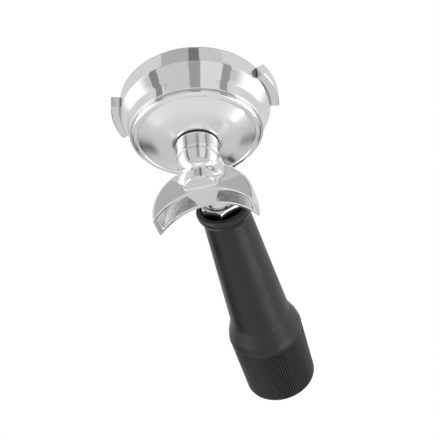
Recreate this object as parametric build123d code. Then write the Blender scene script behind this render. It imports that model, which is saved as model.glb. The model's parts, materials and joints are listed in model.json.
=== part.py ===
"""Espresso portafilter with a twin spout and a ribbed plastic handle.

Frame: the origin is the centre of the filter holder's rim plane. +Z points up into the group
head, and the handle runs along -Y, drooping. All sizes are in millimetres. Threads are plain
cylinders at their major diameter.
"""

from build123d import *
import math
import os

# --- driving dimensions -------------------------------------------------------------------

# cup of the filter holder
RIM_RADIUS = 35.0
RIM_BAND_HEIGHT = 9.0
WALL_WAIST_RADIUS = 31.7
WALL_WAIST_Z = -14.5
WALL_FOOT_RADIUS = 30.8
WALL_FOOT_Z = -20.8
FOOT_BEAD_RADIUS = 29.8
FOOT_BEAD_Z = -22.3
FOOT_BEAD_INNER_RADIUS = 27.4
FOOT_BEAD_INNER_Z = -23.1
CUP_BORE_RADIUS = 30.3
CUP_BORE_DEPTH = 12.5
CUP_SLOPE_RADIUS = 28.5
CUP_SLOPE_Z = -18.8
CUP_FLOOR_RADIUS = 25.5
CUP_FLOOR_Z = -20.6
CUP_CENTRE_Z = -22.6
FUNNEL_LIP_RADIUS = 26.9
FUNNEL_LIP_Z = -22.6
FUNNEL_KNEE_RADIUS = 19.0
FUNNEL_KNEE_Z = -25.9
OUTLET_FACE_Z = -27.6
OUTLET_FACE_RADIUS = 11.6

# bayonet lugs
LUG_RADIUS = 39.3
LUG_TOP_Z = -0.6
LUG_HEIGHT = 6.2
LUG_FRONT_ARC = 21.5
LUG_REAR_ARC = 12.5

# filter basket
BASKET_BORE_RADIUS = 29.2
BASKET_SHEET = 0.6
BASKET_FLANGE_RADIUS = 34.3
BASKET_FLANGE_HEIGHT = 1.0
BASKET_FLOOR_Z = -19.6
BASKET_FOOT_RADIUS = 27.2
BASKET_TAPER_Z = -12.0
BASKET_KNEE_Z = -17.0
SPRING_Z = -8.6
BEAD_DEPTH = 0.5
BEAD_HALF_HEIGHT = 1.3
FLOOR_HOLE_RADIUS = 0.45
FLOOR_HOLE_PITCH = 2.7
FLOOR_HOLE_RINGS = 8

# spring wire that keeps the basket in
SPRING_WIRE_RADIUS = 0.65
SPRING_RING_RADIUS = 30.55
SPRING_GAP_ANGLE = 16.0

# outlet thread, G 3/8 (16.66 major)
OUTLET_THREAD_RADIUS = 8.33
OUTLET_BORE_RADIUS = 5.5
NIPPLE_TOP_Z = -22.5
NIPPLE_FOOT_Z = -36.6
THREAD_CLEARANCE = 0.05

# twin spout
GASKET_THICKNESS = 0.5
HUB_RADIUS = 10.0
HUB_FOOT_Z = -35.4
BALL_RADIUS = 9.6
BALL_CENTRE_Z = -36.0
SOCKET_FLOOR_Z = -37.2
DROP_RADIUS = 5.0
DROP_FOOT_Z = -42.0
CROSSING_RADIUS = 4.0
CROSSING_Y = -5.0
CROSSING_Z = -41.5
CROSSING_LENGTH = 10.0
HOOD_RADIUS = 23.6
HOOD_CENTRE_Z = -59.2
HOOD_FRONT_Y = -3.6
HOOD_BACK_Y = -16.4
HOOD_WALL = 2.0
HOOD_EDGE_ROUNDING = 1.6
HOOD_FOOT_ARC_RADIUS = 28.5
HOOD_FOOT_ARC_TOP_Z = -51.0
BOSS_RADIUS = 11.4
BOSS_SHOULDER = 8.0
BOSS_Y = -7.5
BOSS_TOP_Z = -30.0
BOSS_FOOT_Z = -46.5
TONGUE_HALF_WIDTH = 7.4
TONGUE_FOOT_Z = -50.0
TONGUE_THICKNESS = 2.0
TONGUE_BACK_HALF_WIDTH = 3.3
TONGUE_POST_Y = -3.0

# handle axis: it leaves the cup's axis at this height and droops by this angle
HANDLE_AXIS_Z = -17.9
HANDLE_DROOP = 12.4

# distances along the handle axis, from the cup's axis
NECK_ROOT_Y = -27.0
NECK_ROOT_Z = -19.5
NECK_WAIST_S = 37.0
NECK_END_S = 44.2
NECK_HOLE_S = 34.5
NUT_END_S = 50.2
STUD_END_S = 74.0
FRONT_INSERT_END_S = 75.4
GRIP_START_S = 51.4
COLLAR_FACE_S = 48.0
COLLAR_END_S = 54.6
SHOULDER_START_S = 124.6
SHOULDER_END_S = 133.3
REAR_HOLE_S = 131.0
SCREW_END_S = 133.0
CAP_START_S = 137.0
RIB_START_S = 138.2
SPIGOT_END_S = 146.0
COUNTERBORE_S = 164.0
PLUG_START_S = 170.4
CAP_END_S = 175.4

# radii about the handle axis
NECK_WAIST_RADIUS = 8.6
NECK_END_RADIUS = 8.3
STUD_RADIUS = 6.0
NUT_ACROSS_FLATS = 19.0
FRONT_INSERT_RADIUS = 8.0
REAR_INSERT_RADIUS = 4.5
RECESS_RADIUS = 11.4
NUT_WASHER_RADIUS = 9.3
COLLAR_RADIUS = 13.9
NOSE_RADIUS = 9.8
GRIP_NECK_RADIUS = 11.9
GRIP_SHOULDER_RADIUS = 15.75
GRIP_BELL_RADIUS = 18.9
GRIP_END_RADIUS = 19.7
SPIGOT_RADIUS = 16.5
CAP_RADIUS = 19.5
CAP_END_RADIUS = 18.7
RIB_COUNT = 90
RIB_DEPTH = 0.45
CAP_ROUNDING = 2.6
CAP_SCREW_RADIUS = 3.0
CAP_SCREW_HEAD_RADIUS = 5.0
CAP_SCREW_HEAD_HEIGHT = 4.0
CAP_SCREW_KEY_RADIUS = 2.3
CAP_WASHER_RADIUS = 6.4
CAP_WASHER_THICKNESS = 1.6
COUNTERBORE_RADIUS = 7.2

droop = math.radians(HANDLE_DROOP)
handle_direction = (0, -math.cos(droop), -math.sin(droop))
handle_frame = Plane(origin=(0, 0, HANDLE_AXIS_Z), x_dir=(1, 0, 0), z_dir=handle_direction)


# --- helpers ------------------------------------------------------------------------------


def turned(corners):
    """Turn an outline about Z. Each corner is (radius, height, corner radius)."""
    points = [(radius, height) for radius, height, _ in corners]
    rounding = [corner for _, _, corner in corners]
    outline = FilletPolyline(points, radius=rounding, close=True)
    return revolve(Plane.XZ * make_face(outline), Axis.Z)


def rod(radius, low, high):
    """Plain cylinder on Z between two heights."""
    return Pos(0, 0, (low + high) / 2) * Cylinder(radius, high - low)


def ring(inner, outer, low, high):
    """Plain washer shape on Z between two heights."""
    return rod(outer, low, high) - rod(inner, low - 1, high + 1)


def slab(width, front, back, low, high):
    """Block centred on X, between two Y planes and two heights."""
    centre = Pos(0, (front + back) / 2, (low + high) / 2)
    return centre * Box(width, abs(front - back), high - low)


def cross_disc(radius, centre_z, front, back):
    """Disc standing in the XZ plane, between two Y planes."""
    turn = Pos(0, (front + back) / 2, centre_z) * Rot(90, 0, 0)
    return turn * Cylinder(radius, abs(front - back))


# --- filter holder ------------------------------------------------------------------------


def cup_shell():
    return turned([
        (0, 0, 0),
        (RIM_RADIUS, 0, 0.6),
        (RIM_RADIUS, -RIM_BAND_HEIGHT, 5),
        (WALL_WAIST_RADIUS, WALL_WAIST_Z, 7),
        (WALL_FOOT_RADIUS, WALL_FOOT_Z, 0.4),
        (FOOT_BEAD_RADIUS, WALL_FOOT_Z, 0.2),
        (FOOT_BEAD_RADIUS, FOOT_BEAD_Z, 1.2),
        (FOOT_BEAD_INNER_RADIUS, FOOT_BEAD_INNER_Z, 0.7),
        (FUNNEL_LIP_RADIUS, FUNNEL_LIP_Z, 0.3),
        (FUNNEL_KNEE_RADIUS, FUNNEL_KNEE_Z, 22),
        (OUTLET_FACE_RADIUS, OUTLET_FACE_Z, 0.4),
        (0, OUTLET_FACE_Z, 0),
    ])


def cup_cavity():
    hollow = turned([
        (0, 1, 0),
        (CUP_BORE_RADIUS + 1.0, 1, 0),
        (CUP_BORE_RADIUS, -0.6, 0),
        (CUP_BORE_RADIUS, -CUP_BORE_DEPTH, 3),
        (CUP_SLOPE_RADIUS, CUP_SLOPE_Z, 1.5),
        (CUP_FLOOR_RADIUS, CUP_FLOOR_Z, 2),
        (0, CUP_CENTRE_Z, 0),
    ])
    groove = Pos(0, 0, SPRING_Z) * Torus(SPRING_RING_RADIUS, SPRING_WIRE_RADIUS + 0.2)
    thread = rod(OUTLET_THREAD_RADIUS + THREAD_CLEARANCE, OUTLET_FACE_Z - 1, CUP_FLOOR_Z)
    return hollow + groove + thread


def bayonet_lug(side):
    """Lug on the +X side (side 0) or the -X side (side 180), longer towards the front."""
    section = FilletPolyline(
        [
            (RIM_RADIUS - 2, LUG_TOP_Z),
            (LUG_RADIUS, LUG_TOP_Z),
            (LUG_RADIUS, LUG_TOP_Z - LUG_HEIGHT),
            (RIM_RADIUS - 2, LUG_TOP_Z - LUG_HEIGHT),
        ],
        radius=[0, 0.5, 0.7, 0],
        close=True,
    )
    lug = revolve(Plane.XZ * make_face(section), Axis.Z, LUG_FRONT_ARC + LUG_REAR_ARC)
    behind = LUG_FRONT_ARC if side else LUG_REAR_ARC
    return Rot(0, 0, side - behind) * lug


def neck():
    """Arm that swells out of the cup's wall and narrows to a round end."""
    root = Plane(origin=(0, NECK_ROOT_Y, NECK_ROOT_Z), x_dir=(1, 0, 0), z_dir=(0, -1, 0))
    waist = handle_frame.offset(NECK_WAIST_S)
    end = handle_frame.offset(NECK_END_S)
    return loft([
        root * Ellipse(12.0, 9.5),
        waist * Circle(NECK_WAIST_RADIUS),
        end * Circle(NECK_END_RADIUS),
    ])


def filter_holder():
    holder = cup_shell() + neck()
    for side in (0, 180):
        holder += bayonet_lug(side)
    stud_hole = rod(STUD_RADIUS + THREAD_CLEARANCE, NECK_HOLE_S, NECK_END_S + 1)
    return holder - cup_cavity() - handle_frame * stud_hole


# --- filter basket and its spring ---------------------------------------------------------


def basket_outline(offset):
    """Corners of the pressed cup, moved outwards by offset from the inside face."""
    wall = BASKET_BORE_RADIUS + offset
    foot = BASKET_FOOT_RADIUS - BASKET_SHEET + offset
    return [
        (wall, SPRING_Z + BEAD_HALF_HEIGHT, 0.5),
        (wall - BEAD_DEPTH, SPRING_Z + BEAD_DEPTH, 0.5),
        (wall - BEAD_DEPTH, SPRING_Z - BEAD_DEPTH, 0.5),
        (wall, SPRING_Z - BEAD_HALF_HEIGHT, 0.5),
        (wall, BASKET_TAPER_Z, 3),
        (foot, BASKET_KNEE_Z, 3),
        (foot - 1.6, BASKET_FLOOR_Z + BASKET_SHEET - offset, 1.6),
    ]


def floor_holes():
    """Rings of drain holes with a hexagonal count: 1, 6, 12, 18 and so on."""
    places = [(0, 0)]
    for step in range(1, FLOOR_HOLE_RINGS + 1):
        for index in range(6 * step):
            angle = 2 * math.pi * index / (6 * step)
            reach = step * FLOOR_HOLE_PITCH
            places.append((reach * math.cos(angle), reach * math.sin(angle)))
    drills = Sketch() + [Pos(x, y) * Circle(FLOOR_HOLE_RADIUS) for x, y in places]
    return extrude(Plane.XY.offset(BASKET_FLOOR_Z - 1) * drills, 3)


def filter_basket():
    outside = [(0, BASKET_FLANGE_HEIGHT, 0), (BASKET_FLANGE_RADIUS, BASKET_FLANGE_HEIGHT, 0.4)]
    outside += [(BASKET_FLANGE_RADIUS, 0, 0.2), (BASKET_BORE_RADIUS + BASKET_SHEET, 0, 0)]
    outside += basket_outline(BASKET_SHEET) + [(0, BASKET_FLOOR_Z, 0)]
    inside = [(0, 2, 0), (BASKET_BORE_RADIUS + 1.6, 2, 0)]
    inside += [(BASKET_BORE_RADIUS + 1.6, BASKET_FLANGE_HEIGHT, 0), (BASKET_BORE_RADIUS, -0.4, 0.8)]
    inside += basket_outline(0) + [(0, BASKET_FLOOR_Z + BASKET_SHEET, 0)]
    return turned(outside) - turned(inside) - floor_holes()


def basket_spring():
    wire = Plane.XZ * (Pos(SPRING_RING_RADIUS, SPRING_Z) * Circle(SPRING_WIRE_RADIUS))
    hoop = revolve(wire, Axis.Z, 360 - SPRING_GAP_ANGLE)
    return Rot(0, 0, 90 + SPRING_GAP_ANGLE / 2) * hoop


# --- outlet and twin spout ----------------------------------------------------------------


def outlet_nipple():
    return turned([
        (OUTLET_BORE_RADIUS, NIPPLE_TOP_Z, 0.3),
        (OUTLET_THREAD_RADIUS, NIPPLE_TOP_Z, 0.5),
        (OUTLET_THREAD_RADIUS, NIPPLE_FOOT_Z, 0.5),
        (OUTLET_BORE_RADIUS, NIPPLE_FOOT_Z, 0.3),
    ])


def spout_gasket():
    seat = OUTLET_FACE_Z - GASKET_THICKNESS
    return ring(OUTLET_THREAD_RADIUS + 0.25, HUB_RADIUS, seat, OUTLET_FACE_Z)


def spout_hood():
    """Crescent-shaped hood: two arms that curve down to the tips, open underneath."""
    hood = cross_disc(HOOD_RADIUS, HOOD_CENTRE_Z, HOOD_FRONT_Y, HOOD_BACK_Y)
    rims = hood.edges().filter_by(GeomType.CIRCLE)
    hood = fillet(rims, HOOD_EDGE_ROUNDING)
    foot_z = HOOD_FOOT_ARC_TOP_Z - HOOD_FOOT_ARC_RADIUS
    return hood - cross_disc(HOOD_FOOT_ARC_RADIUS, foot_z, HOOD_FRONT_Y + 9, HOOD_BACK_Y - 9)


def spout_channel():
    """Water way inside the hood, with the tongue left standing in its middle."""
    front = HOOD_FRONT_Y - HOOD_WALL
    back = HOOD_BACK_Y + HOOD_WALL
    way = cross_disc(HOOD_RADIUS - HOOD_WALL, HOOD_CENTRE_Z, front, back)
    wide = TONGUE_HALF_WIDTH
    slim = TONGUE_BACK_HALF_WIDTH
    right_side = [(wide, front + 1), (wide, front), (slim, back - 1)]
    left_side = [(-slim, back - 1), (-wide, front), (-wide, front + 1)]
    plan = Polyline(right_side + left_side, close=True)
    tongue = extrude(Plane.XY.offset(TONGUE_FOOT_Z - 3) * make_face(plan), 3 + TONGUE_THICKNESS)
    return way - tongue


def twin_spout():
    top = OUTLET_FACE_Z - GASKET_THICKNESS
    ball_foot = BALL_CENTRE_Z - BALL_RADIUS
    hub = turned([
        (0, top, 0),
        (HUB_RADIUS, top, 0.3),
        (HUB_RADIUS, HUB_FOOT_Z, 0.2),
        (BALL_RADIUS, HUB_FOOT_Z - 0.2, 0),
        (BALL_RADIUS, ball_foot, BALL_RADIUS - 0.05),
        (0, ball_foot, 0),
    ])
    boss = Pos(0, BOSS_Y, 0) * turned([
        (0, BOSS_TOP_Z, 0),
        (BOSS_RADIUS, BOSS_TOP_Z, BOSS_SHOULDER),
        (BOSS_RADIUS, BOSS_FOOT_Z, 3.0),
        (0, BOSS_FOOT_Z, 0),
    ])
    boss -= slab(40, HOOD_BACK_Y, HOOD_BACK_Y - 20, -60, -20)
    post = Pos(0, TONGUE_POST_Y, 0) * turned([
        (0, BALL_CENTRE_Z, 0),
        (TONGUE_HALF_WIDTH, BALL_CENTRE_Z, 0),
        (TONGUE_HALF_WIDTH, TONGUE_FOOT_Z, 0.6),
        (0, TONGUE_FOOT_Z, 0),
    ])
    socket = rod(OUTLET_THREAD_RADIUS + THREAD_CLEARANCE, SOCKET_FLOOR_Z, top + 1)
    drop = rod(DROP_RADIUS, DROP_FOOT_Z, SOCKET_FLOOR_Z + 1)
    bore = Rot(90, 0, 0) * Cylinder(CROSSING_RADIUS, CROSSING_LENGTH)
    crossing = Pos(0, CROSSING_Y, CROSSING_Z) * bore
    body = hub + boss + spout_hood() + post
    return body - spout_channel() - socket - drop - crossing


# --- handle joint: stud, lock nut and washer ----------------------------------------------


def handle_stud():
    return turned([
        (0, NECK_HOLE_S + 0.2, 0),
        (STUD_RADIUS, NECK_HOLE_S + 0.2, 0.8),
        (STUD_RADIUS, STUD_END_S, 0.8),
        (0, STUD_END_S, 0),
    ])


def lock_nut():
    corner = NUT_ACROSS_FLATS / math.sqrt(3)
    prism = extrude(RegularPolygon(corner, 6, rotation=30), NUT_END_S - NECK_END_S)
    blank = turned([
        (0, NECK_END_S, 0),
        (corner - 0.9, NECK_END_S, 0),
        (corner, NECK_END_S + 0.6, 0),
        (corner, NUT_END_S - 0.6, 0),
        (corner - 0.9, NUT_END_S, 0),
        (0, NUT_END_S, 0),
    ])
    bore = rod(STUD_RADIUS + THREAD_CLEARANCE, NECK_END_S - 1, NUT_END_S + 1)
    return (Pos(0, 0, NECK_END_S) * prism & blank) - bore


def recess_washer():
    return ring(STUD_RADIUS + 0.3, NUT_WASHER_RADIUS, NUT_END_S, GRIP_START_S)


def front_insert():
    """Brass bush moulded into the grip, with two retaining grooves round it."""
    hole = STUD_RADIUS + THREAD_CLEARANCE
    bush = ring(hole, FRONT_INSERT_RADIUS, GRIP_START_S, FRONT_INSERT_END_S)
    for place in (59.0, 67.0):
        bush -= ring(FRONT_INSERT_RADIUS - 0.6, FRONT_INSERT_RADIUS + 1, place, place + 2)
    return bush


# --- handle grip --------------------------------------------------------------------------


def collar_ring():
    """Rounded ring on the grip's nose, with fine turned grooves in its front face."""
    body = turned([
        (RECESS_RADIUS, COLLAR_FACE_S, 0.2),
        (13.2, COLLAR_FACE_S, 0.6),
        (COLLAR_RADIUS, 49.4, 0.8),
        (13.6, 51.6, 1.0),
        (GRIP_NECK_RADIUS + 0.15, COLLAR_END_S, 0.2),
        (NOSE_RADIUS + 0.05, COLLAR_END_S, 0),
        (NOSE_RADIUS + 0.05, GRIP_START_S, 0),
        (RECESS_RADIUS, GRIP_START_S, 0),
    ])
    for radius in (11.9, 12.6):
        body -= ring(radius, radius + 0.25, COLLAR_FACE_S - 1, COLLAR_FACE_S + 0.3)
    return body - ring(13.45, 15.0, 51.0, 51.5)


def grip_shell():
    body = turned([
        (0, GRIP_START_S, 0),
        (NOSE_RADIUS, GRIP_START_S, 0),
        (NOSE_RADIUS, COLLAR_END_S, 0),
        (GRIP_NECK_RADIUS, COLLAR_END_S, 0.3),
        (GRIP_SHOULDER_RADIUS, SHOULDER_START_S, 6),
        (GRIP_BELL_RADIUS, SHOULDER_END_S, 4),
        (GRIP_END_RADIUS, CAP_START_S, 0.3),
        (SPIGOT_RADIUS, CAP_START_S, 0),
        (SPIGOT_RADIUS, SPIGOT_END_S, 0.6),
        (0, SPIGOT_END_S, 0),
    ])
    front_hole = FRONT_INSERT_RADIUS + THREAD_CLEARANCE
    rear_hole = REAR_INSERT_RADIUS + THREAD_CLEARANCE
    body -= rod(front_hole, GRIP_START_S - 1, FRONT_INSERT_END_S)
    body -= rod(STUD_RADIUS + 0.6, FRONT_INSERT_END_S, FRONT_INSERT_END_S + 2.6)
    return body - rod(rear_hole, REAR_HOLE_S, SPIGOT_END_S + 1)


def cap_blank():
    return turned([
        (0, CAP_START_S, 0),
        (CAP_RADIUS - 0.3, CAP_START_S, 0),
        (CAP_RADIUS, CAP_START_S + 0.4, 0),
        (CAP_END_RADIUS, CAP_END_S, CAP_ROUNDING),
        (0, CAP_END_S, 0),
    ])


def rib_grooves():
    """Fine V grooves that lean with the cap's taper, evenly spaced round it."""
    pitch = 2 * math.pi * CAP_RADIUS / RIB_COUNT
    tip = CAP_RADIUS - RIB_DEPTH
    mouth = CAP_RADIUS + 0.2
    groove = Polyline([(tip, 0), (mouth, 0.45 * pitch), (mouth, -0.45 * pitch)], close=True)
    prism = extrude(make_face(groove), CAP_END_S - CAP_START_S)
    taper = math.atan2(CAP_RADIUS - CAP_END_RADIUS, CAP_END_S - CAP_START_S)
    cutter = Pos(0, 0, RIB_START_S) * Rot(0, -math.degrees(taper), 0) * prism
    return [Rot(0, 0, 360 * index / RIB_COUNT) * cutter for index in range(RIB_COUNT)]


def ribbed_end_cap():
    body = cap_blank() - rib_grooves()
    body -= rod(SPIGOT_RADIUS + THREAD_CLEARANCE, CAP_START_S - 1, SPIGOT_END_S + 0.5)
    body -= rod(CAP_SCREW_RADIUS + 0.3, SPIGOT_END_S, CAP_END_S)
    return body - rod(COUNTERBORE_RADIUS, COUNTERBORE_S, CAP_END_S + 1)


def rear_insert():
    hole = CAP_SCREW_RADIUS + THREAD_CLEARANCE
    bush = ring(hole, REAR_INSERT_RADIUS, REAR_HOLE_S, SPIGOT_END_S)
    return bush - ring(REAR_INSERT_RADIUS - 0.4, REAR_INSERT_RADIUS + 1, 137.0, 139.0)


def cap_washer():
    seat = COUNTERBORE_S + CAP_WASHER_THICKNESS
    return ring(CAP_SCREW_RADIUS + 0.3, CAP_WASHER_RADIUS, COUNTERBORE_S, seat)


def cap_screw():
    """Socket-head screw that pulls the end cap against the grip."""
    seat = COUNTERBORE_S + CAP_WASHER_THICKNESS
    top = seat + CAP_SCREW_HEAD_HEIGHT
    screw = turned([
        (0, SCREW_END_S, 0),
        (CAP_SCREW_RADIUS, SCREW_END_S, 0.6),
        (CAP_SCREW_RADIUS, seat, 0),
        (CAP_SCREW_HEAD_RADIUS, seat, 0),
        (CAP_SCREW_HEAD_RADIUS, top, 0.6),
        (0, top, 0),
    ])
    key_depth = CAP_SCREW_HEAD_HEIGHT - 1.5
    key = Pos(0, 0, top - key_depth) * extrude(RegularPolygon(CAP_SCREW_KEY_RADIUS, 6), 4)
    return screw - key


def end_plug():
    radius = COUNTERBORE_RADIUS - 0.05
    return turned([
        (0, PLUG_START_S, 0),
        (radius, PLUG_START_S, 0.4),
        (radius, CAP_END_S, 0.4),
        (0, CAP_END_S, 0),
    ])


# --- write every piece --------------------------------------------------------------------

upright = {
    "filter_holder": filter_holder,
    "filter_basket": filter_basket,
    "basket_spring": basket_spring,
    "outlet_nipple": outlet_nipple,
    "spout_gasket": spout_gasket,
    "twin_spout": twin_spout,
}

along_handle = {
    "handle_stud": handle_stud,
    "lock_nut": lock_nut,
    "recess_washer": recess_washer,
    "front_insert": front_insert,
    "collar_ring": collar_ring,
    "grip_shell": grip_shell,
    "ribbed_end_cap": ribbed_end_cap,
    "rear_insert": rear_insert,
    "cap_washer": cap_washer,
    "cap_screw": cap_screw,
    "end_plug": end_plug,
}

os.makedirs("parts", exist_ok=True)
for name, make in upright.items():
    export_step(make(), f"parts/{name}.step")
for name, make in along_handle.items():
    export_step(handle_frame * make(), f"parts/{name}.step")
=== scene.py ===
"""Espresso portafilter, seen from below and in front, on a plain white studio set.

All lengths are metres in the frame of the CAD model: the origin is the centre of the rim plane,
Z points up and the handle runs along -Y.
"""

import json
import math
import bmesh
import bpy
import numpy as np
from mathutils import Matrix, Vector


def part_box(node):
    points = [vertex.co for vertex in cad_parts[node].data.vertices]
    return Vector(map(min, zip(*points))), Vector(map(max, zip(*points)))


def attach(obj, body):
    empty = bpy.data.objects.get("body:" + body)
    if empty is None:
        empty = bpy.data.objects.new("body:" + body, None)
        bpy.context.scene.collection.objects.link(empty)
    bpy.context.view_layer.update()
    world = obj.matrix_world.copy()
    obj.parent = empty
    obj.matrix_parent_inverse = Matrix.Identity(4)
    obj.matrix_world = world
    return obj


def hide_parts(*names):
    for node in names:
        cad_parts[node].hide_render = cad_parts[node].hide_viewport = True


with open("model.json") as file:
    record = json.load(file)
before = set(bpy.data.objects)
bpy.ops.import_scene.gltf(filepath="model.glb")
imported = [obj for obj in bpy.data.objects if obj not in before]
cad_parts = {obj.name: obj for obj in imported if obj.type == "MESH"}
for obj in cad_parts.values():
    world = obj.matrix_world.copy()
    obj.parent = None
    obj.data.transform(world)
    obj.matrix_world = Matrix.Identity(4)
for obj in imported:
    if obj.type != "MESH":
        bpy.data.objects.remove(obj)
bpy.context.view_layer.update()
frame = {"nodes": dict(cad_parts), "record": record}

MM = 0.001
HANDLE_DROOP = math.radians(12.4)

# camera
VIEW_AZIMUTH = math.radians(192.2)
VIEW_ELEVATION = math.radians(-36.68)
VIEW_ROLL = math.radians(-3.74)
VIEW_DISTANCE = 0.6
VIEW_AIM = Vector((-0.74, -35.11, -45.87)) * MM
LENS = 104.46

# studio
FLOOR_Z = -0.85
FLOOR_SIZE = 60.0
ROOM_GREY = 0.7


# --- material helpers ---------------------------------------------------------------------


class Material:
    """A Principled material with short ways to add the nodes that vary it."""

    def __init__(self, name, colour, metallic, roughness):
        self.material = bpy.data.materials.new(name)
        self.material.use_nodes = True
        self.tree = self.material.node_tree
        self.shader = self.tree.nodes["Principled BSDF"]
        self.shader.inputs["Base Color"].default_value = (*colour, 1)
        self.shader.inputs["Metallic"].default_value = metallic
        self.shader.inputs["Roughness"].default_value = roughness
        self.place = self.tree.nodes.new("ShaderNodeTexCoord").outputs["Object"]

    def node(self, kind, **settings):
        """New node of a kind, with its settings."""
        made = self.tree.nodes.new(kind)
        for key, value in settings.items():
            setattr(made, key, value)
        return made

    def link(self, output, target):
        """Wire an output to an input."""
        self.tree.links.new(output, target)

    def stretched(self, turn=(0, 0, 0), scale=(1, 1, 1)):
        """Object coordinates, turned and then scaled along each axis."""
        mapping = self.node("ShaderNodeMapping")
        mapping.inputs["Rotation"].default_value = turn
        mapping.inputs["Scale"].default_value = scale
        self.link(self.place, mapping.inputs["Vector"])
        return mapping.outputs["Vector"]

    def noise(self, size, detail=4, place=None, rough=0.55):
        """Noise whose features are about size metres across."""
        made = self.node("ShaderNodeTexNoise")
        made.inputs["Scale"].default_value = 1 / size
        made.inputs["Detail"].default_value = detail
        made.inputs["Roughness"].default_value = rough
        self.link(place or self.place, made.inputs["Vector"])
        return made.outputs["Fac"]

    def spread(self, value, low, high, edges=(0.35, 0.65)):
        """The value between two edges, stretched to run from low to high."""
        made = self.node("ShaderNodeMapRange")
        made.inputs["From Min"].default_value = edges[0]
        made.inputs["From Max"].default_value = edges[1]
        made.inputs["To Min"].default_value = low
        made.inputs["To Max"].default_value = high
        self.link(value, made.inputs["Value"])
        return made.outputs["Result"]

    def combine(self, first, second, operation="ADD"):
        """Sum of two values, or another Math operation on them."""
        made = self.node("ShaderNodeMath", operation=operation)
        self.link(first, made.inputs[0])
        self.link(second, made.inputs[1])
        return made.outputs["Value"]

    def colour_between(self, value, first, second):
        """Base colour that runs from the first to the second as the value runs from 0 to 1."""
        made = self.node("ShaderNodeMix", data_type="RGBA")
        made.inputs["A"].default_value = (*first, 1)
        made.inputs["B"].default_value = (*second, 1)
        self.link(value, made.inputs["Factor"])
        self.link(made.outputs["Result"], self.shader.inputs["Base Color"])

    def roughen(self, value):
        self.link(value, self.shader.inputs["Roughness"])

    def bump(self, height, depth, strength=1.0):
        """Relief from a 0 to 1 height, depth metres deep. Calls stack."""
        made = self.node("ShaderNodeBump")
        made.inputs["Strength"].default_value = strength
        made.inputs["Distance"].default_value = depth
        self.link(height, made.inputs["Height"])
        normal = self.shader.inputs["Normal"]
        if normal.is_linked:
            self.link(normal.links[0].from_socket, made.inputs["Normal"])
        self.link(made.outputs["Normal"], normal)

    def turned_place(self, drift_share=0.02):
        """Coordinates that change with radius and height, for lathe and brushing lines.

        A small share of X is mixed in, so that the lines drift instead of closing into perfect rings.
        """
        split = self.node("ShaderNodeSeparateXYZ")
        self.link(self.place, split.inputs["Vector"])
        flat = self.node("ShaderNodeCombineXYZ")
        self.link(split.outputs["X"], flat.inputs["X"])
        self.link(split.outputs["Y"], flat.inputs["Y"])
        radius = self.node("ShaderNodeVectorMath", operation="LENGTH")
        self.link(flat.outputs["Vector"], radius.inputs[0])
        joined = self.node("ShaderNodeCombineXYZ")
        self.link(radius.outputs["Value"], joined.inputs["X"])
        self.link(split.outputs["Z"], joined.inputs["Z"])
        drift = self.node("ShaderNodeMath", operation="MULTIPLY")
        drift.inputs[1].default_value = drift_share
        self.link(split.outputs["X"], drift.inputs[0])
        self.link(drift.outputs["Value"], joined.inputs["Y"])
        return joined.outputs["Vector"]


# --- materials ----------------------------------------------------------------------------

# height over which the brushed zone of the chrome fades out
SATIN_FADE = 0.4 * MM
# reach of the painted shade: a dark line darkened into the colour where two chromed faces meet
CREVICE_SIZE = 1.6 * MM
# openness at which an inside corner is unpolished, and at which it is fully polished
RECESS_EDGES = (0.45, 0.75)
CHROME_TONE = (0.9, 0.903, 0.91)

def chrome(name, tone, ripple, haze, satin_zone=None, recess=None):
    """Mirror chrome: slow polishing ripple, faint crossing hairlines, a patchy haze and painted shade
    darkening its corners.

    satin_zone is (low, high, haze) for the heights that are only brushed. recess is how deep an
    inside corner must be to stay as cast, where the polishing wheel doesn't reach.
    """
    made = Material(name, tone, 1.0, haze)
    patches = made.noise(9 * MM, detail=3)
    grains = made.noise(0.5 * MM, detail=2)
    cloud = made.combine(patches, grains, "MULTIPLY")
    level = made.spread(cloud, haze * 0.6, haze * 1.9, (0.12, 0.4))
    if satin_zone:
        low, high, satin = satin_zone
        split = made.node("ShaderNodeSeparateXYZ")
        made.link(made.place, split.inputs["Vector"])
        under = made.spread(split.outputs["Z"], satin, 0, (high - SATIN_FADE, high))
        above = made.spread(split.outputs["Z"], 0, 1, (low - SATIN_FADE, low))
        level = made.combine(level, made.combine(under, above, "MULTIPLY"))

    # painted shade: ambient occlusion darkens the base colour in corners and creases, towards a dark tone
    # that the faint random mottle also moves a little towards
    nook = made.node("ShaderNodeAmbientOcclusion")
    nook.inputs["Distance"].default_value = CREVICE_SIZE
    painted_crevice_shade = made.spread(nook.outputs["AO"], 1, 0, (0.45, 0.85))
    mottle = made.spread(made.noise(14 * MM), 0, 0.035)
    crevice_shade_and_mottle_tone = tuple(0.16 * part for part in tone)
    made.colour_between(made.combine(painted_crevice_shade, mottle), tone, crevice_shade_and_mottle_tone)

    if recess:
        shade = made.node("ShaderNodeAmbientOcclusion")
        shade.inputs["Distance"].default_value = recess
        polished = made.spread(shade.outputs["AO"], 0.1, 1, RECESS_EDGES)
        made.link(polished, made.shader.inputs["Metallic"])
        level = made.combine(level, made.spread(shade.outputs["AO"], 0.25, 0, RECESS_EDGES))
    made.roughen(level)

    made.bump(made.noise(11 * MM, detail=1), ripple)
    for turn, stretch in ((0.5, (900, 14000, 14000)), (-0.9, (11000, 700, 12000))):
        lines = made.stretched((0.3, 0.2, turn), stretch)
        hairs = made.noise(1.0, detail=1, place=lines)
        made.bump(made.spread(hairs, 0, 1, (0.68, 0.8)), 0.0003 * MM, 0.25)
    return made.material


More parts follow.
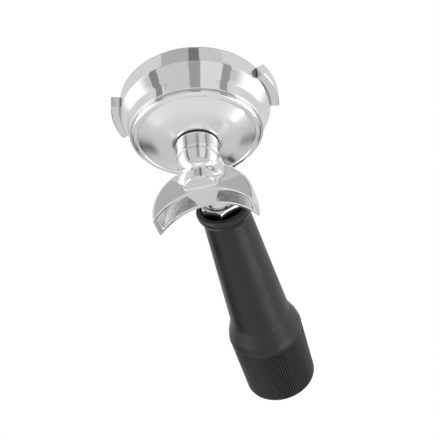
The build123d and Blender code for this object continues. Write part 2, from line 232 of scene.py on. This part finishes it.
def brushed_sheet():
    """Pressed stainless: concentric brushing and dull patches."""
    made = Material("stainless_sheet", (0.62, 0.61, 0.6), 1.0, 0.3)
    rings = made.noise(0.16 * MM, detail=3, place=made.turned_place())
    patches = made.noise(7 * MM)
    made.roughen(made.spread(made.combine(rings, patches, "MULTIPLY"), 0.2, 0.42, (0.1, 0.42)))
    made.colour_between(made.spread(patches, 0, 1), (0.66, 0.655, 0.645), (0.55, 0.54, 0.525))
    made.bump(rings, 0.004 * MM)
    made.shader.inputs["Anisotropic"].default_value = 0.4
    return made.material


def drawn_metal(name, light, dark, roughness, line, depth):
    """Turned or drawn metal with fine lines round it and slight staining."""
    made = Material(name, light, 1.0, roughness)
    rings = made.noise(line, detail=2, place=made.turned_place(0.05))
    patches = made.noise(3 * MM)
    made.roughen(made.spread(rings, roughness * 0.75, roughness * 1.35))
    made.colour_between(made.spread(patches, 0, 1), light, dark)
    made.bump(rings, depth)
    return made.material


def zinc_plate():
    """Zinc plate: cool grey with a crystalline mottle and a slight yellow passivation."""
    made = Material("zinc_steel", (0.6, 0.6, 0.58), 1.0, 0.32)
    cells = made.node("ShaderNodeTexVoronoi")
    cells.inputs["Scale"].default_value = 1 / (0.9 * MM)
    made.link(made.place, cells.inputs["Vector"])
    grain = cells.outputs["Distance"]
    tint = made.spread(made.noise(4 * MM), 0, 1)
    made.colour_between(tint, (0.62, 0.63, 0.62), (0.56, 0.54, 0.44))
    made.roughen(made.spread(grain, 0.22, 0.45, (0, 0.8)))
    made.bump(grain, 0.003 * MM)
    return made.material


def moulded_plastic(name, black, worn, roughness, grain, depth, gloss):
    """Black moulded plastic: fine grain, handling shine in patches and a few scuffs."""
    made = Material(name, black, 0.0, roughness)
    fine = made.noise(grain, detail=3)
    patches = made.noise(16 * MM, detail=3)
    scuff_place = made.stretched((HANDLE_DROOP, 0, 0.35), (2200, 260, 2200))
    scuffs = made.spread(made.noise(1.0, detail=2, place=scuff_place), 0, 1, (0.68, 0.78))
    wear = made.spread(made.combine(patches, scuffs), 0, 1, (0.5, 1.7))
    made.colour_between(wear, black, worn)
    handling = made.spread(patches, -0.06, 0.06)
    texture = made.spread(fine, -0.04, 0.04)
    uneven = made.combine(handling, texture)
    level = made.node("ShaderNodeMath", operation="ADD")
    level.inputs[1].default_value = roughness
    made.link(uneven, level.inputs[0])
    made.roughen(level.outputs["Value"])
    made.bump(fine, depth)
    made.bump(scuffs, 0.002 * MM, 0.4)
    made.shader.inputs["Specular IOR Level"].default_value = gloss
    return made.material


def rubber():
    """Moulded seal: dull, slightly mottled, with a fine skin."""
    made = Material("black_rubber", (0.02, 0.02, 0.02), 0.0, 0.7)
    fine = made.noise(0.12 * MM)
    mottle = made.spread(made.noise(2 * MM), 0, 1)
    made.colour_between(mottle, (0.016, 0.016, 0.016), (0.03, 0.029, 0.028))
    made.roughen(made.spread(fine, 0.6, 0.85))
    made.bump(fine, 0.01 * MM)
    return made.material


# the funnel under the cup is only brushed, from the outlet's face up to the funnel's lip
outlet_face_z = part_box("spout_gasket")[1].z
funnel_lip_z = outlet_face_z + 4.9 * MM
FUNNEL_HAZE = 0.17

finishes = {
    "chromed_brass": chrome(
        "chromed_brass", CHROME_TONE, 0.0015 * MM, 0.045, (outlet_face_z, funnel_lip_z, FUNNEL_HAZE)
    ),
    "chromed_steel": chrome("chromed_steel", (0.82, 0.825, 0.835), 0.001 * MM, 0.08),
    "stainless_sheet": brushed_sheet(),
    "spring_wire": drawn_metal(
        "spring_wire", (0.6, 0.6, 0.6), (0.5, 0.5, 0.5), 0.28, 0.08 * MM, 0.003 * MM
    ),
    "plain_brass": drawn_metal(
        "plain_brass", (0.78, 0.58, 0.28), (0.62, 0.43, 0.2), 0.24, 0.12 * MM, 0.004 * MM
    ),
    "zinc_steel": zinc_plate(),
    "black_rubber": rubber(),
    "black_ring_plastic": moulded_plastic(
        "black_ring_plastic", (0.006, 0.006, 0.0065), (0.013, 0.013, 0.0135), 0.3, 0.25 * MM, 0.002 * MM, 0.5
    ),
    "black_grip_plastic": moulded_plastic(
        "black_grip_plastic", (0.007, 0.007, 0.0073), (0.014, 0.014, 0.014), 0.36, 0.14 * MM, 0.004 * MM, 0.5
    ),
}

slot_of = {part["node"]: part["material_slot"] for part in frame["record"]["subparts"]}


def finish_with(thing, finish):
    """Give an object one material."""
    thing.data.materials.clear()
    thing.data.materials.append(finish)


for name, cad_node in frame["nodes"].items():
    finish_with(cad_node, finishes[slot_of[name]])


# --- pieces -------------------------------------------------------------------------------

# shares of each step that the blending of the casting takes
SMOOTH_SHARE = 0.5
SWELL_SHARE = 0.53
FILL_SHARE = 0.7
# part of a voxel below which a dip counts as flat
FLAT_LIMIT = 0.03

# thread of the nipple, G 3/8
THREAD_PITCH = 1.337 * MM
THREAD_DEPTH = 0.82 * MM
NIPPLE_BORE_RADIUS = 5.5 * MM
ROWS_PER_PITCH = 10
# the thread's flank: how steep it is, and how much of the crest is flat
FLANK_SLOPE = 2.6
CREST_SHARE = 0.15


def add_piece(name, mesh, replaced, body, finish):
    """Put a mesh in the scene in place of a CAD node, with the given finish and on the given body."""
    piece = bpy.data.objects.new(name, mesh)
    bpy.context.scene.collection.objects.link(piece)
    finish_with(piece, finish)
    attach(piece, body)
    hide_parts(replaced)


def even_mesh(source, voxel):
    """Copy of an object's mesh, made again from voxels of one size."""
    rough = bpy.data.objects.new("casting_source", source.data.copy())
    bpy.context.scene.collection.objects.link(rough)
    remesh = rough.modifiers.new("even_grid", "REMESH")
    remesh.mode = "VOXEL"
    remesh.voxel_size = voxel
    evaluated = rough.evaluated_get(bpy.context.evaluated_depsgraph_get())
    mesh = bpy.data.meshes.new_from_object(evaluated)
    bpy.data.objects.remove(rough)
    return mesh


def blended_casting(source, voxel, rounds):
    """The CAD casting with its inside corners filled to soft blends, as a mould leaves them.

    Each round moves a point towards the middle of its neighbours, outwards only, so inside corners
    fill and outside corners stay. The evening passes before and after it keep the volume.
    """
    mesh = even_mesh(source, voxel)
    count = len(mesh.vertices)
    points = np.zeros(count * 3)
    mesh.vertices.foreach_get("co", points)
    points = points.reshape(-1, 3)
    edges = np.zeros(len(mesh.edges) * 2, dtype=np.int64)
    mesh.edges.foreach_get("vertices", edges)
    first, second = edges.reshape(-1, 2).T
    neighbours = np.bincount(np.concatenate([first, second]), minlength=count)[:, None]

    def pull():
        """Step from each point to the middle of its neighbours."""
        total = np.zeros_like(points)
        for axis in range(3):
            total[:, axis] += np.bincount(first, points[second, axis], count)
            total[:, axis] += np.bincount(second, points[first, axis], count)
        return total / neighbours - points

    def outward():
        mesh.vertices.foreach_set("co", points.ravel())
        mesh.update()
        normals = np.zeros(count * 3)
        mesh.vertex_normals.foreach_get("vector", normals)
        return normals.reshape(-1, 3)

    def even_out(times):
        """Smooth, then swell by a little more, which takes ripples out and keeps the size."""
        for _ in range(times):
            points[:] += SMOOTH_SHARE * pull()
            points[:] -= SWELL_SHARE * pull()

    even_out(20)
    for _ in range(rounds):
        normals = outward()
        step = pull()
        rise = np.sum(step * normals, axis=1, keepdims=True)
        slide = step - rise * normals
        fill = np.where(rise > FLAT_LIMIT * voxel, rise, 0)
        points += SMOOTH_SHARE * slide + FILL_SHARE * fill * normals
    even_out(30)
    mesh.vertices.foreach_set("co", points.ravel())
    mesh.shade_smooth()
    mesh.update()
    return mesh


def circle_of_points(shape, radius, z, around):
    """Ring of new vertices at one height."""
    turns = [2 * math.pi * index / around for index in range(around)]
    return [shape.verts.new((radius * math.cos(a), radius * math.sin(a), z)) for a in turns]


def threaded_tube(radius, bore, low, high, pitch, depth, around=96):
    """Right-handed screw thread on a tube along Z, chamfered at both ends."""
    shape = bmesh.new()
    rows = int(round((high - low) / (pitch / ROWS_PER_PITCH)))
    rings = []
    for row in range(rows + 1):
        z = low + (high - low) * row / rows
        chamfer = max(0, depth - min(z - low, high - z))
        ring = []
        for index in range(around):
            angle = 2 * math.pi * index / around
            phase = (z / pitch - index / around) % 1
            cut = depth * min(1, max(0, FLANK_SLOPE * abs(phase - 0.5) - CREST_SHARE))
            reach = radius - max(cut, chamfer)
            ring.append(shape.verts.new((reach * math.cos(angle), reach * math.sin(angle), z)))
        rings.append(ring)
    rings.append(circle_of_points(shape, bore, high, around))
    rings.append(circle_of_points(shape, bore, low, around))
    for ring, following in zip(rings, rings[1:] + rings[:1]):
        for index in range(around):
            after = (index + 1) % around
            shape.faces.new((ring[index], ring[after], following[after], following[index]))
    mesh = bpy.data.meshes.new("thread")
    shape.to_mesh(mesh)
    shape.free()
    mesh.shade_smooth()
    return mesh


spout_mesh = blended_casting(frame["nodes"]["twin_spout"], 0.22 * MM, 80)
cast_chrome = chrome("cast_chrome", CHROME_TONE, 0.0012 * MM, 0.05, recess=9 * MM)
add_piece("spout_casting", spout_mesh, "twin_spout", "spout", cast_chrome)

nipple_low, nipple_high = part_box("outlet_nipple")
nipple_mesh = threaded_tube(
    nipple_high.x, NIPPLE_BORE_RADIUS, nipple_low.z, nipple_high.z, THREAD_PITCH, THREAD_DEPTH
)
nipple_finish = finishes[slot_of["outlet_nipple"]]
add_piece("threaded_nipple", nipple_mesh, "outlet_nipple", "holder", nipple_finish)


# --- studio -------------------------------------------------------------------------------


def sheet_object(name, columns, rows, place):
    """A staged sheet: place(u, v) gives each point for u and v from 0 to 1.

    Its inset attribute is how far a point lies inside the nearest edge, as a share of the sheet.
    """
    shape = bmesh.new()
    grid = [
        [shape.verts.new(place(column / columns, row / rows)) for column in range(columns + 1)]
        for row in range(rows + 1)
    ]
    for lower, upper in zip(grid, grid[1:]):
        for index in range(columns):
            shape.faces.new((lower[index], lower[index + 1], upper[index + 1], upper[index]))
    mesh = bpy.data.meshes.new(name)
    shape.to_mesh(mesh)
    shape.free()
    inset = mesh.attributes.new("inset", "FLOAT", "POINT")
    for index in range(len(mesh.vertices)):
        row, column = divmod(index, columns + 1)
        u = column / columns
        v = row / rows
        inset.data[index].value = min(u, 1 - u, v, 1 - v)
    made = bpy.data.objects.new(name, mesh)
    bpy.context.scene.collection.objects.link(made)
    return made


def plain_paint(name, grey, mottle):
    """Matt grey with slow, faint clouds."""
    made = Material(name, (grey, grey, grey), 0.0, 0.8)
    low, high = grey * (1 - mottle), grey * (1 + mottle)
    made.colour_between(made.noise(0.4), (low, low, low), (high, high, high))
    return made.material


def glowing_card(name, level, soft):
    """Light of one radiance, for what the chrome mirrors. It fades out over soft of the card."""
    made = bpy.data.materials.new(name)
    made.use_nodes = True
    tree = made.node_tree
    tree.nodes.clear()
    glow = tree.nodes.new("ShaderNodeEmission")
    glow.inputs["Color"].default_value = (level, level, level, 1)
    inset = tree.nodes.new("ShaderNodeAttribute")
    inset.attribute_name = "inset"
    fade = tree.nodes.new("ShaderNodeMapRange")
    fade.interpolation_type = "SMOOTHSTEP"
    fade.inputs["From Max"].default_value = soft
    tree.links.new(inset.outputs["Fac"], fade.inputs["Value"])
    edge = tree.nodes.new("ShaderNodeMixShader")
    tree.links.new(fade.outputs["Result"], edge.inputs[0])
    tree.links.new(tree.nodes.new("ShaderNodeBsdfTransparent").outputs["BSDF"], edge.inputs[1])
    tree.links.new(glow.outputs["Emission"], edge.inputs[2])
    out = tree.nodes.new("ShaderNodeOutputMaterial")
    tree.links.new(edge.outputs["Shader"], out.inputs["Surface"])
    return made


def floor_point(u, v):
    """Point of the flat square floor."""
    return FLOOR_SIZE * (u - 0.5), FLOOR_SIZE * (v - 0.5), FLOOR_Z


floor = sheet_object("floor", 16, 16, floor_point)
floor.data.materials.append(plain_paint("pale_floor", 0.86, 0.02))

front = Vector((math.sin(VIEW_AZIMUTH), -math.cos(VIEW_AZIMUTH), 0))
side = Vector((front.y, -front.x, 0))


def front_screen(name, sweep, heights, radius, level, soft):
    """Upright curved card round the set, seen only in reflections.

    sweep is (start, end) in degrees, measured from the camera's side of the set, with the left of
    the picture positive. heights is (low, high).
    """
    start, end = sweep
    low, high = heights

    def point(u, v):
        angle = math.radians(start + (end - start) * u)
        flat = radius * (math.cos(angle) * front + math.sin(angle) * side)
        return flat.x, flat.y, low + (high - low) * v

    card = sheet_object(name, 24, 12, point)
    card.data.materials.append(glowing_card(name, level, soft))
    card.visible_camera = False
    card.visible_diffuse = False


# radii of the cards, and the height where the high ones take over from the low ones
WALL = 1.5
FORWARD = 1.4
HORIZON = 0.75
# share of a card over which its light fades in
HARD = 0.004
CRISP = 0.03

front_screen("wall_high_left", (-3, 48), (HORIZON, 2.6), WALL, 0.46, HARD)
front_screen("wall_high_right", (-47, -3), (HORIZON, 2.6), WALL, 0.62, HARD)
front_screen("wall_low_left", (-3, 49), (-0.8, HORIZON), WALL, 0.62, HARD)
front_screen("wall_low_right", (-41, -3), (-0.8, HORIZON), WALL, 0.76, HARD)
front_screen("rig_high", (-11, 5), (HORIZON, 2.4), FORWARD, 0.19, HARD)
front_screen("rig_low", (-11, 5), (-0.83, HORIZON), FORWARD, 0.36, HARD)
front_screen("left_flag", (49, 61), (-0.83, 0.78), FORWARD, 0.26, CRISP)
front_screen("right_flag", (-54, -41), (-0.83, 0.78), FORWARD, 0.34, CRISP)
front_screen("left_window", (64, 125), (-0.7, 0.9), WALL, 1.15, 0.3)
front_screen("right_window", (-125, -60), (-0.7, 0.9), WALL, 1.15, 0.3)
front_screen("left_shade", (128, 160), (-0.83, 0.3), FORWARD, 0.02, 0.3)
front_screen("right_shade", (-158, -126), (-0.83, 0.3), FORWARD, 0.02, 0.3)


def softbox(name, direction, distance, width, radiance, mirrored=True):
    """Square light that faces the cup. A mirrored one shows in the chrome as a white square."""
    data = bpy.data.lights.new(name, "AREA")
    data.shape = "SQUARE"
    data.size = width
    data.energy = radiance * math.pi * width * width
    light = bpy.data.objects.new(name, data)
    bpy.context.scene.collection.objects.link(light)
    aim = Vector(direction).normalized()
    light.location = VIEW_AIM + distance * aim
    light.rotation_euler = aim.to_track_quat("Z", "Y").to_euler()
    light.visible_camera = False
    light.visible_glossy = mirrored


softbox("softbox_left", (0.83, 0.12, -0.55), 0.95, 0.62, 1.4)
softbox("softbox_right", (-0.72, -0.28, -0.63), 0.95, 0.62, 1.4)
softbox("fill_below", (-0.15, 0.7, -0.7), 0.9, 0.6, 5.0, mirrored=False)

world = bpy.data.worlds.new("white_studio")
bpy.context.scene.world = world
world.use_nodes = True
world_tree = world.node_tree
room = world_tree.nodes["Background"]
room.inputs["Color"].default_value = (ROOM_GREY, ROOM_GREY, ROOM_GREY, 1)
paper = world_tree.nodes.new("ShaderNodeBackground")
paper.inputs["Color"].default_value = (1, 1, 1, 1)
seen = world_tree.nodes.new("ShaderNodeLightPath").outputs["Is Camera Ray"]
choose = world_tree.nodes.new("ShaderNodeMixShader")
world_tree.links.new(seen, choose.inputs[0])
world_tree.links.new(room.outputs["Background"], choose.inputs[1])
world_tree.links.new(paper.outputs["Background"], choose.inputs[2])
world_tree.links.new(choose.outputs["Shader"], world_tree.nodes["World Output"].inputs["Surface"])

# white stays white, and light gets through the many reflections inside the spout
bpy.context.scene.view_settings.view_transform = "Standard"
bpy.context.scene.cycles.glossy_bounces = 14
bpy.context.scene.cycles.max_bounces = 16


# --- camera -------------------------------------------------------------------------------

backward = Vector((
    math.sin(VIEW_AZIMUTH) * math.cos(VIEW_ELEVATION),
    -math.cos(VIEW_AZIMUTH) * math.cos(VIEW_ELEVATION),
    math.sin(VIEW_ELEVATION),
))
level_right = (-backward).cross(Vector((0, 0, 1))).normalized()
level_up = level_right.cross(-backward)
right = math.cos(VIEW_ROLL) * level_right + math.sin(VIEW_ROLL) * level_up
up = math.cos(VIEW_ROLL) * level_up - math.sin(VIEW_ROLL) * level_right

camera_data = bpy.data.cameras.new("camera")
camera_data.sensor_width = 36
camera_data.lens = LENS
camera = bpy.data.objects.new("camera", camera_data)
bpy.context.scene.collection.objects.link(camera)
axes = Matrix((right, up, backward)).transposed().to_4x4()
camera.matrix_world = Matrix.Translation(VIEW_AIM + VIEW_DISTANCE * backward) @ axes
bpy.context.scene.camera = camera
